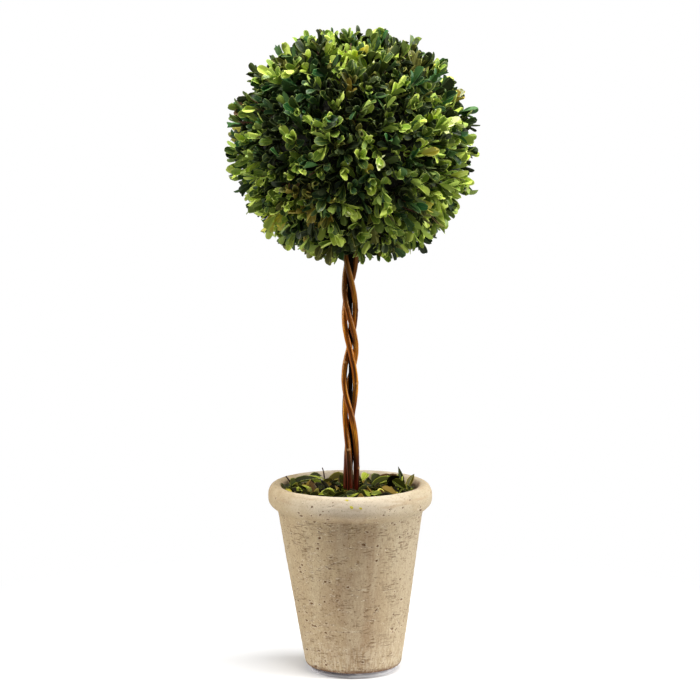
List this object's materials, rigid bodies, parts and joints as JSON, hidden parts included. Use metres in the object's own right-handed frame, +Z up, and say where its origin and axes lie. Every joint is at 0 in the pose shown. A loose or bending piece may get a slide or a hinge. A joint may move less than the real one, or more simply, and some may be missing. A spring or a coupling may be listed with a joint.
{
  "type": "box topiary ball",
  "caption": "Clipped box topiary ball on a stem of twisted canes, planted in a chalky weathered clay pot on a clear foot disc.",
  "frame": {"origin": "middle of the flat underside of the clear foot disc that the pot stands on", "axes": "+Z up along the stem; the front, as pictured, faces -Y; +X to the right"},
  "size_m": [0.214, 0.214, 0.56],
  "materials": {
    "pot_clay": "unglazed clay with a chalky pale wash, small pits and scratches",
    "clear_foot": "clear, polished",
    "bed": "dry box leaves over a dark filling, matt to satin",
    "cane_bark": "smooth red-brown bark with a lacquered sheen",
    "dark_bark": "very dark, satin",
    "box_leaves": "preserved leaves, satin, dark green to yellow-green"
  },
  "bodies": {
    "root": {"foot_disc": "clear_foot", "pot": "pot_clay", "filling": "bed", "cane_1": "cane_bark", "cane_2": "cane_bark", "cane_3": "cane_bark", "inner_cane": "dark_bark", "leaf_ball": "box_leaves"}
  },
  "joints": []
}
